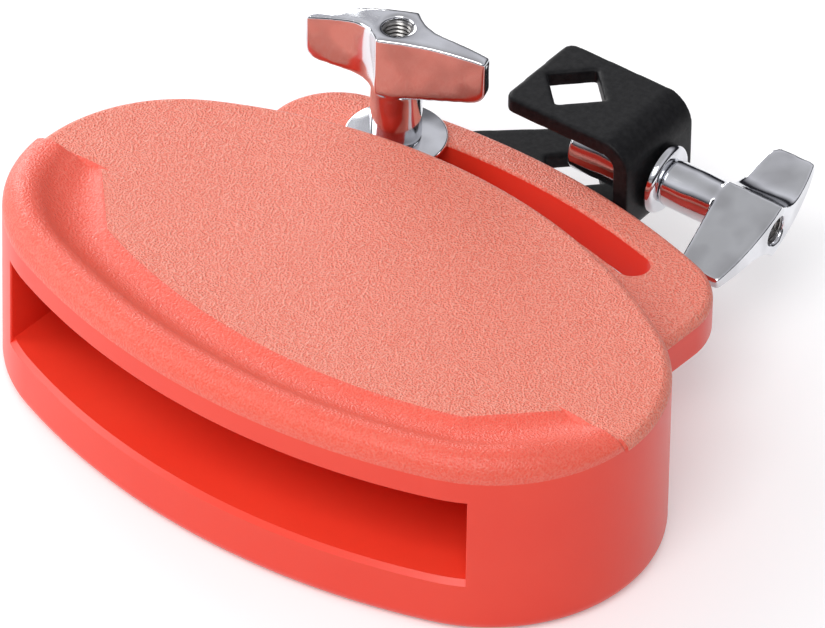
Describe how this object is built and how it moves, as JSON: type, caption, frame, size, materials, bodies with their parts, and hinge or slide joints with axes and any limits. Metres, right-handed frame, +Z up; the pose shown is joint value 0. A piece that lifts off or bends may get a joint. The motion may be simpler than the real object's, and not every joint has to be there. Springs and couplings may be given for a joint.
{
  "type": "woodblock",
  "caption": "Moulded plastic percussion block with a resonance slot, and a folded steel bracket that clamps it to a stand rod with wing nuts",
  "frame": {"origin": "on the underside of the block, midway between its tips", "axes": "+X along the block, towards the rod wing nut; -Y out of the resonance slot; +Z up, through the playing face"},
  "size_m": [0.1998, 0.1913, 0.0758],
  "materials": {
    "block_plastic": "fine leather grain on top, smooth on the lip and the walls",
    "black_steel": "black powder coat with a fine grain",
    "chrome_hardware": "polished chrome plate"
  },
  "bodies": {
    "block": {"block": "block_plastic"},
    "clamp_carriage": {"clamp_washer": "chrome_hardware"},
    "clamp_bolt": {"clamp_bolt": "chrome_hardware"},
    "clamp_wing_nut": {"clamp_wing_nut": "chrome_hardware"},
    "bracket": {"bracket": "black_steel", "rod_washer": "chrome_hardware"},
    "eye_bolt": {"eye_bolt": "chrome_hardware"},
    "rod_wing_nut": {"rod_wing_nut": "chrome_hardware"}
  },
  "joints": [
    {"name": "clamp_travel", "type": "hinge", "parent": "block", "child": "clamp_carriage", "pos_m": [0, -0.1142, 0.038], "axis": [0, 0, 1], "range_deg": [-24.9, 1.58]},
    {"name": "clamp_nut_turn", "type": "hinge", "parent": "clamp_carriage", "child": "clamp_wing_nut", "pos_m": [-0.0384, 0.07188, 0.038], "axis": [0, 0, 1], "range_deg": [0, 730]},
    {"name": "clamp_bolt_lift", "type": "slide", "parent": "clamp_carriage", "child": "clamp_bolt", "axis": [0, 0, 1], "range_m": [-0.0025, 0]},
    {"name": "bracket_swing", "type": "hinge", "parent": "clamp_carriage", "child": "bracket", "pos_m": [-0.0384, 0.07188, 0.026], "axis": [0, 0, 1], "range_deg": [0, 105]},
    {"name": "rod_nut_turn", "type": "hinge", "parent": "bracket", "child": "rod_wing_nut", "pos_m": [0.0294, 0.10666, 0.03633], "axis": [0.9912, 0.1129, -0.0698], "range_deg": [0, 3820]},
    {"name": "eye_bolt_draw", "type": "slide", "parent": "bracket", "child": "eye_bolt", "axis": [0.9912, 0.1129, -0.0698], "range_m": [-0.013, 0]}
  ],
  "couplings": [
    {"joint": "clamp_nut_turn", "follows": "clamp_bolt_lift", "rad_per_m": -5026.5},
    {"joint": "rod_nut_turn", "follows": "eye_bolt_draw", "rad_per_m": -5026.5}
  ]
}
